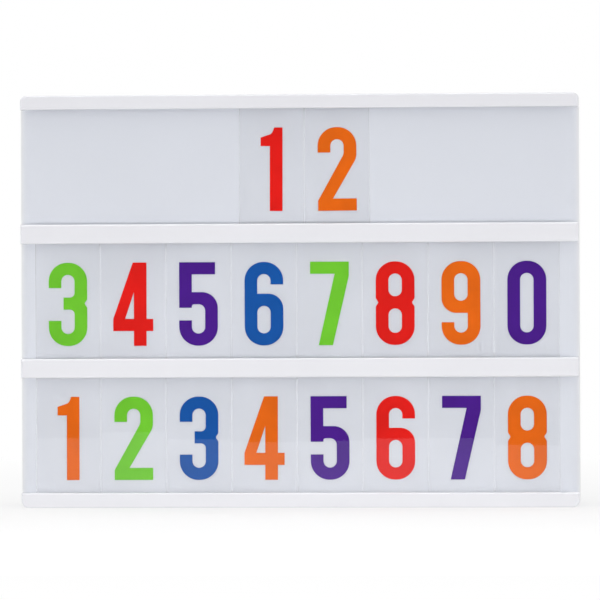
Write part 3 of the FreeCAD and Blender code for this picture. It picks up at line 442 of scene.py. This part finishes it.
def figure_outlines():
    """Outer outline and counters of every figure, millimetres from its lower left corner."""
    w, h, s, b = FIGURE_WIDTH, FIGURE_HEIGHT, STEM, BAR
    big, small = BOWL_RADIUS, COUNTER_RADIUS
    right = w - s
    waist = 22.9
    notch = 1.5
    pinch = 2.2
    over = waist + b / 2
    under = waist - b / 2
    bowl_top = 27.8
    terminal = 13.6
    four_bar = 8.0
    four_stem = 11.2

    def counter(low, high):
        return [(s, low, small), (right, low, small), (right, high, small), (s, high, small)]

    def turned(outline):
        return [(w - c[0], h - c[1]) + tuple(c[2:]) for c in outline]

    right_pinch = [(w, waist - pinch, 2.0), (w - notch, waist, 1.2), (w, waist + pinch, 2.0)]
    left_pinch = [(0, waist + pinch, 2.0), (notch, waist, 1.2), (0, waist - pinch, 2.0)]
    open_top = [(0, h - terminal), (s, h - terminal), (s, h - b, small), (right, h - b, small)]
    open_foot = [(right, b, small), (s, b, small), (s, terminal), (0, terminal)]
    one = [
        (7.4, 0), (7.4 + s, 0), (7.4 + s, h), (9.8, h), (8.4, h - 3.4, 3.0), (2.4, h - 5.4),
        (2.4, h - 10.0), (7.4, h - 10.0),
    ]
    two = [(0, 0), (w, 0), (w, b), (s + 1.2, b), (w, 28.2, 9.0), (w, h, big), (0, h, big)]
    two += open_top + [(right, 30.4, 5.0), (0, 5.4)]
    three = [(0, 0, big), (w, 0, big)] + right_pinch + [(w, h, big), (0, h, big)] + open_top
    three += [(right, over, 2.6), (8.0, over), (8.0, under), (right, under, 2.6)] + open_foot
    four = [
        (0, four_bar), (four_stem, four_bar), (four_stem, 0), (four_stem + s, 0),
        (four_stem + s, four_bar), (w + 0.8, four_bar), (w + 0.8, four_bar + b),
        (four_stem + s, four_bar + b), (four_stem + s, h), (10.6, h), (0, four_bar + b),
    ]
    four_hole = [(6.4, four_bar + b), (four_stem, four_bar + b), (four_stem, 29.0)]
    five = [
        (0, 0, big), (w, 0, big), (w, 28.8, 8.5), (s, 28.8), (s, h - b), (w - 1.4, h - b),
        (w - 1.4, h), (0, h), (0, 20.4), (s, 20.4), (s, 28.8 - b, 1.2), (right, 28.8 - b, small),
    ] + open_foot
    six = [
        (0, 0, big), (w, 0, big), (w, bowl_top, 8.0), (s, bowl_top), (s, h - b, small),
        (right, h - b, small), (right, h - terminal + 1.5), (w, h - terminal + 1.5),
        (w, h, big), (0, h, big),
    ]
    six_hole = counter(b, bowl_top - b)
    seven = [(4.6, 0), (5.4 + s, 0), (w, h - b - 1.2), (w, h), (0, h), (0, h - b), (right - 0.8, h - b)]
    eight = [(0, 0, big), (w, 0, big)] + right_pinch + [(w, h, big), (0, h, big)] + left_pinch
    zero = [(0, 0, big), (w, 0, big), (w, h, big), (0, h, big)]
    return {
        "0": (zero, [counter(b, h - b)]),
        "1": (one, []),
        "2": (two, []),
        "3": (three, []),
        "4": (four, [four_hole]),
        "5": (five, []),
        "6": (six, [six_hole]),
        "7": (seven, []),
        "8": (eight, [counter(b, under), counter(over, h - b)]),
        "9": (turned(six), [turned(six_hole)]),
    }


def film_mesh(half_wide, half_high, thick):
    """One clear tile about its middle, its front face at depth 0, with fine bevels at its edges."""
    bm = bmesh.new()
    inset = rectangle(half_wide - TILE_BEVEL, half_high - TILE_BEVEL, TILE_CORNER - TILE_BEVEL)
    full = rectangle(half_wide, half_high, TILE_CORNER)
    steps = ((inset, 0.0), (full, TILE_BEVEL), (full, thick - TILE_BEVEL), (inset, thick))
    rings = [ring(bm, points, depth) for points, depth in steps]
    for first, second in zip(rings, rings[1:]):
        wall(bm, first, second, 1)
    cap(bm, rings[:1])
    cap(bm, rings[-1:])
    return bm


def figure_mesh(outline, counters, base, depth):
    """One printed figure in the middle of its tile, at a depth behind the tile's front face."""
    bm = bmesh.new()
    middle = (min(c[0] for c in outline) + max(c[0] for c in outline)) / 2
    shift = Vector((-middle, base))
    loops = [[p + shift for p in rounded_outline(one)] for one in [outline] + counters]
    plate(bm, loops, depth, INK_THICK)
    return bm


def make_tiles():
    """Every tile and its figure, leaning and turned by the play of its grooves."""
    outlines = figure_outlines()
    inks = {rgb: ink_material(rgb) for rgb in INK_NAMES}
    film = (film_material(), cut_edge_material())
    for row, figures in ROW_FIGURES.items():
        for i, (figure, rgb) in enumerate(figures):
            label = "%s_%d" % (row, i + 1)
            low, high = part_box("tile_" + label)
            size = (high - low) / MM
            place = Matrix.Translation(((low.x + high.x) / 2, low.y, (low.z + high.z) / 2))
            turn = Matrix.Rotation(math.radians(TILE_TURNS[row][i]), 4, "Y")
            lean = Matrix.Rotation(math.radians(TILE_LEANS[row][i]), 4, "X")
            outline, counters = outlines[figure]
            tile = film_mesh(size.x / 2, size.z / 2, size.y)
            mark = figure_mesh(outline, counters, FIGURE_BASE - size.z / 2, size.y + INK_GAP)
            for bm in (tile, mark):
                bm.transform(place @ turn @ lean)
            tile = new_object("film_" + label, tile, film)
            mark = new_object("print_" + label, mark, (inks[rgb],))
            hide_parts("tile_" + label)
            for piece in (tile, mark):
                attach(piece, "tile_%s_body" % label)


def tube_mesh(bm, points, radius):
    """A round wire along points, with closed ends, in millimetres."""
    rings = []
    across = None
    for i, point in enumerate(points):
        way = (points[min(i + 1, len(points) - 1)] - points[max(i - 1, 0)]).normalized()
        start = way.orthogonal() if across is None else across - way * across.dot(way)
        across = start.normalized()
        up = way.cross(across)
        spokes = [across * p.x + up * p.y for p in circle(radius, WIRE_SIDES)]
        rings.append([bm.verts.new((point + spoke) * MM) for spoke in spokes])
    for first, second in zip(rings, rings[1:]):
        wall(bm, first, second)
    bm.faces.new(rings[0])
    bm.faces.new(rings[-1])


def turned_mesh(bm, profile, base, way, bands):
    """A round part turned from (radius, height) points, standing at base and pointing up or down.

    Each band between two points has its own material.
    """
    rings = []
    for radius, height in profile:
        z = base.z + way * height
        rings.append([bm.verts.new(Vector((base.x + p.x, base.y + p.y, z)) * MM) for p in circle(radius)])
    for i, (first, second) in enumerate(zip(rings, rings[1:])):
        wall(bm, first, second, bands[i])
    bm.faces.new(rings[0]).material_index = bands[0]
    bm.faces.new(rings[-1]).material_index = bands[-1]


def dress(name, bm, materials, node):
    """A smooth piece on the case that stands for a model node."""
    piece = new_object(name, bm, materials, smooth=True)
    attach(piece, "case")
    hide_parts(node)


def cell_places():
    """Foot of every cell and the way it points along Z, millimetres."""
    low, high = (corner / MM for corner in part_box("battery_cells"))
    pitch = (high.x - low.x - 2 * CELL_RADIUS) / (CELLS - 1)
    places = []
    for i in range(CELLS):
        up = i % 2 == 0
        foot = high.z - CELL_LENGTH if up else low.z + CELL_LENGTH
        x = low.x + CELL_RADIUS + i * pitch
        places.append((Vector((x, (low.y + high.y) / 2, foot)), 1 if up else -1))
    return places


def make_springs(material):
    """Conical springs of round wire, one at the flat end of every cell."""
    low, high = (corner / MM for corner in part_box("contact_springs"))
    steps = int(SPRING_COILS * SPRING_STEPS)
    bm = bmesh.new()
    for cell, way in cell_places():
        foot = low.z if way > 0 else high.z
        climb = abs(cell.z - foot) - SPRING_WIRE
        points = []
        for step in range(steps + 1):
            share = step / steps
            angle = 2 * math.pi * SPRING_COILS * share
            radius = SPRING_BASE + (SPRING_TIP - SPRING_BASE) * share
            x = cell.x + radius * math.cos(angle)
            y = cell.y + radius * math.sin(angle)
            points.append(Vector((x, y, foot + way * (SPRING_WIRE / 2 + climb * share))))
        tube_mesh(bm, points, SPRING_WIRE / 2)
    dress("coil_contacts", bm, (material,), "contact_springs")


def make_cells(sleeve, steel, band):
    """Round cells with a sleeve rolled over their ends, a bare flat end and a nub."""
    profile = (
        (5.3, 0.05), (5.6, 0.3), (6.2, 0.3), (6.5, 0.0), (6.95, 0.1), (CELL_RADIUS, 0.45),
        (CELL_RADIUS, 41.5), (CELL_RADIUS, 48.6), (6.9, 49.2), (6.4, 49.45), (5.8, 49.2),
        (3.2, 49.2), (2.75, 49.5), (2.75, 50.25), (2.5, CELL_LENGTH),
    )
    bands = (1, 1, 0, 0, 0, 0, 2, 2, 2, 2, 1, 1, 1, 1)
    bm = bmesh.new()
    for foot, way in cell_places():
        turned_mesh(bm, profile, foot, way, bands)
    dress("round_cells", bm, (sleeve, steel, band), "battery_cells")


def cross(reach, arm):
    """Points of a cross about the origin."""
    quarter = (Vector((reach, arm)), Vector((arm, arm)), Vector((arm, reach)))
    return [Matrix.Rotation(math.radians(90 * turn), 2) @ p for turn in range(4) for p in quarter]


def screw_mesh(bm, place, seat, facing, radius, head, shank):
    """A screw along Y with a domed head and a cross recess; facing is the way its head looks."""
    centre = Vector(place)

    def rim(points, depth):
        return ring(bm, [p + centre for p in points], seat + facing * depth)

    steps = ((1.0, 0.0), (1.0, 0.5), (0.86, 0.85), (0.66, 1.0))
    rims = [rim(circle(radius * wide), head * high) for wide, high in steps]
    for first, second in zip(rims, rims[1:]):
        wall(bm, first, second)
    mouth = rim(cross(radius * 0.55, radius * 0.13), head)
    floor = rim(cross(radius * 0.42, radius * 0.09), head * 0.3)
    cap(bm, [rims[-1], mouth])
    wall(bm, mouth, floor)
    cap(bm, [floor])
    tip = [rim(circle(radius * wide), -deep) for wide, deep in ((0.5, 0), (0.5, shank - 2), (0.1, shank))]
    cap(bm, [rims[0], tip[0]])
    for first, second in zip(tip, tip[1:]):
        wall(bm, first, second)
    cap(bm, tip[-1:])


def make_screws(steel):
    """Case screws in their wells and board screws, each set from its node's box."""
    low, high = (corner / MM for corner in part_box("case_screws"))
    radius, head = CASE_SCREW_HEAD
    bm = bmesh.new()
    for x in (low.x + radius, high.x - radius):
        for z in (low.z + radius, high.z - radius):
            screw_mesh(bm, (x, z), high.y - head, 1, radius, head, high.y - head - low.y)
    dress("cross_case_screws", bm, (steel,), "case_screws")
    low, high = (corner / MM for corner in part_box("board_screws"))
    radius, head = BOARD_SCREW_HEAD
    bm = bmesh.new()
    for place in ((low.x + radius, high.z - radius), (high.x - radius, low.z + radius)):
        screw_mesh(bm, place, low.y + head, -1, radius, head, high.y - low.y - head)
    dress("cross_board_screws", bm, (steel,), "board_screws")


def make_wires(material):
    """Round wires inside the case, along smooth curves."""
    for node, routes in (("battery_leads", BATTERY_LEADS), ("strip_leads", STRIP_LEADS)):
        curve = bpy.data.curves.new("round_" + node, "CURVE")
        curve.dimensions = "3D"
        curve.bevel_depth = WIRE_RADIUS * MM
        curve.use_fill_caps = True
        curve.materials.append(material)
        for route in routes:
            spline = curve.splines.new("NURBS")
            spline.points.add(len(route) - 1)
            for point, place in zip(spline.points, route):
                point.co = (*(Vector(place) * MM), 1.0)
            spline.order_u = 3
            spline.use_endpoint_u = True
        piece = bpy.data.objects.new("round_" + node, curve)
        bpy.context.scene.collection.objects.link(piece)
        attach(piece, "case")
        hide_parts(node)


def make_switch_marks(material):
    """A raised ring at the off end of the switch's dish and a raised bar at its on end."""
    half = MARK_HALF_HEIGHT
    bar = MARK_STROKE / 2
    ring_outline = rectangle(half * 0.7, half, half * 0.68)
    ring_hole = rectangle(half * 0.7 - MARK_STROKE, half - MARK_STROKE, half * 0.3)
    marks = ((-MARK_OUT, [ring_outline, ring_hole]), (MARK_OUT, [rectangle(bar, half, bar * 0.8)]))
    bm = bmesh.new()
    for out, loops in marks:
        middle = Vector((SWITCH_MIDDLE[0] + out, SWITCH_MIDDLE[1]))
        plate(bm, [[p + middle for p in loop] for loop in loops], DISH_FLOOR, MARK_RAISE)
    marks = new_object("switch_marks", bm, (material,))
    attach(marks, "case")


def dress_nodes():
    """Every model node gets its finish, and the small parts their fuller forms."""
    back = moulded("back_plastic", BACK_WHITE, 0.5, 0.01, 2600.0, 0.3).material
    black = moulded("black_plastic", (24, 24, 25), 0.42, 0.1, 1800.0, 0.2).material
    strip = moulded("strip_white", (228, 230, 226), 0.5, 0.03).material
    wire = moulded("red_wire", (170, 20, 18), 0.45, 0.05).material
    sleeve = moulded("cell_sleeve", (58, 66, 78), 0.3, 0.03).material
    band = moulded("cell_band", (176, 182, 190), 0.28, 0.03).material
    steel = metal("steel", (190, 190, 192), 0.3, (1, 8, 1))
    finishes = {
        "front_shell": diffuser_material(),
        "back_shell": back,
        "battery_cover": back,
        "cover_latch": back,
        "contact_plates": metal("plated", (205, 203, 196), 0.25),
        "control_board": moulded("board_green", (22, 84, 48), 0.35, 0.15, 500.0, 0.1).material,
        "board_parts": black,
        "switch_body": black,
        "switch_knob": black,
        "power_socket": black,
        "reflector_sheet": moulded("reflector", (240, 240, 240), 0.6, 0.01).material,
        "led_packages": moulded("light_resin", (240, 214, 120), 0.3, 0.05).material,
        "strip_links": strip,
    }
    rail = moulded("rail_plastic", RAIL_WHITE, 0.24, 0.008, 700.0, 0.04).material
    for name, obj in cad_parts.items():
        if name.endswith("_rail"):
            finishes[name] = rail
        elif name.startswith("led_strip"):
            finishes[name] = strip
        obj.data.materials.clear()
        obj.data.materials.append(finishes.get(name, steel))
    make_springs(steel)
    make_cells(sleeve, steel, band)
    make_screws(steel)
    make_wires(wire)
    make_switch_marks(back)


def make_floor():
    """A white floor. Its front end shows only in the gloss of the tiles."""
    bm = bmesh.new()
    corners = (
        (-FLOOR_SIDE, FLOOR_FRONT), (FLOOR_SIDE, FLOOR_FRONT),
        (FLOOR_SIDE, FLOOR_BACK), (-FLOOR_SIDE, FLOOR_BACK),
    )
    bm.faces.new([bm.verts.new((x, y, 0)) for x, y in corners])
    n = Nodes("floor_white")
    n.tree.nodes.remove(n.shader)
    matt = n.add("ShaderNodeBsdfDiffuse")
    n.link(n.ramp(n.noise(3.0), (0.90, 0.90, 0.90, 1), (0.93, 0.93, 0.93, 1)), matt.inputs["Color"])
    distance = n.add("ShaderNodeVectorMath", operation="LENGTH")
    n.link(n.place, distance.inputs[0])
    away = n.span(distance.outputs["Value"], FLOOR_WHITE_NEAR, 1.0, *FLOOR_WHITE_REACH)
    near = n.span(distance.outputs["Value"], FLOOR_GLOSS, 0.0, *FLOOR_GLOSS_REACH)
    white = n.add("ShaderNodeEmission")
    seen = n.mix(away, matt.outputs[0], white.outputs[0])
    path = n.add("ShaderNodeLightPath")
    bounce = n.add("ShaderNodeEmission")
    level = n.math("MULTIPLY_ADD", near, path.outputs["Is Glossy Ray"], FLOOR_LEVEL)
    n.link(level, bounce.inputs["Strength"])
    direct = n.math("MAXIMUM", path.outputs["Is Camera Ray"], path.outputs["Is Transmission Ray"])
    n.link(n.mix(direct, bounce.outputs[0], seen), n.out.inputs["Surface"])
    new_object("floor", bm, (n.material,))


def make_world():
    """White where it is seen; to the box a soft white room that is dark only straight in front."""
    world = bpy.data.worlds.new("room")
    bpy.context.scene.world = world
    world.use_nodes = True
    tree = world.node_tree
    tree.nodes.clear()

    def add(kind, *links):
        node = tree.nodes.new(kind)
        for source, socket in links:
            tree.links.new(source, node.inputs[socket])
        return node

    place = add("ShaderNodeTexCoord").outputs["Generated"]
    axes = add("ShaderNodeSeparateXYZ", (place, 0)).outputs
    share = add("ShaderNodeMapRange", (axes["Y"], "Value"))
    share.inputs["From Min"].default_value = -1.0
    ceiling = add("ShaderNodeMapRange", (axes["Z"], "Value"))
    ceiling.inputs["From Min"].default_value = CEILING_HEIGHTS[0]
    ceiling.inputs["From Max"].default_value = CEILING_HEIGHTS[1]
    ceiling.inputs["To Min"].default_value = 1.0
    ceiling.inputs["To Max"].default_value = CEILING_FACTOR
    room = add("ShaderNodeValToRGB", (share.outputs["Result"], "Fac"))
    stops = room.color_ramp.elements
    while len(stops) < len(ROOM_LEVELS):
        stops.new(0.5)
    for stop, (position, level) in zip(stops, ROOM_LEVELS):
        stop.position = position
        stop.color = (level, level, level, 1)
    lit = add("ShaderNodeBackground", (room.outputs["Color"], "Color"), (ceiling.outputs[0], "Strength"))
    plain = add("ShaderNodeBackground")
    plain.inputs["Color"].default_value = (1, 1, 1, 1)
    path = add("ShaderNodeLightPath").outputs
    direct = add("ShaderNodeMath", (path["Is Camera Ray"], 0), (path["Is Transmission Ray"], 1))
    direct.operation = "MAXIMUM"
    both = add("ShaderNodeMixShader", (direct.outputs[0], "Fac"), (lit.outputs[0], 1), (plain.outputs[0], 2))
    add("ShaderNodeOutputWorld", (both.outputs[0], "Surface"))


def area_light(name, place, target, size, watts, glossy=True, diffuse=True):
    """A soft rectangular light that faces target."""
    data = bpy.data.lights.new(name, "AREA")
    data.shape = "RECTANGLE"
    data.size, data.size_y = size
    data.energy = watts
    light = bpy.data.objects.new(name, data)
    bpy.context.scene.collection.objects.link(light)
    light.location = place
    aim = Vector(target) - Vector(place)
    light.rotation_euler = aim.to_track_quat("-Z", "Y").to_euler()
    light.visible_glossy = glossy
    light.visible_diffuse = diffuse
    light.visible_camera = False


def make_lights():
    """Soft lights: high in front, wide in front, along the floor, overhead, and one only for gloss."""
    area_light("key", (-0.15, -0.95, 1.15), BOX_MIDDLE, (1.3, 0.8), KEY_WATTS)
    area_light("fill", (0.2, -1.9, 0.3), BOX_MIDDLE, (1.6, 1.2), FILL_WATTS, glossy=False)
    area_light("low", (0.0, -0.5, 0.04), (0, 0, 0.06), (0.9, 0.06), LOW_WATTS, glossy=False)
    area_light("top", (0.0, -0.15, 1.1), BOX_MIDDLE, (1.2, 0.8), TOP_WATTS, glossy=False)
    area_light("edge", (0.0, -0.3, 1.0), BOX_MIDDLE, (1.4, 0.5), EDGE_WATTS, diffuse=False)


def make_camera():
    """The picture's point of view."""
    data = bpy.data.cameras.new("camera")
    data.sensor_fit = "HORIZONTAL"
    data.sensor_width = SENSOR_WIDTH
    data.lens = FOCAL_PIXELS * SENSOR_WIDTH / PICTURE_SIDE
    data.clip_end = 50.0
    camera = bpy.data.objects.new("camera", data)
    bpy.context.scene.collection.objects.link(camera)
    turn = (
        Matrix.Rotation(math.radians(CAMERA_YAW), 4, "Z")
        @ Matrix.Rotation(math.radians(90 - CAMERA_PITCH), 4, "X")
        @ Matrix.Rotation(math.radians(CAMERA_ROLL), 4, "Z")
    )
    camera.matrix_world = Matrix.Translation(CAMERA_PLACE) @ turn
    bpy.context.scene.camera = camera


dress_nodes()
make_tiles()
make_floor()
make_world()
make_lights()
make_camera()
bpy.context.scene.view_settings.view_transform = "Standard"
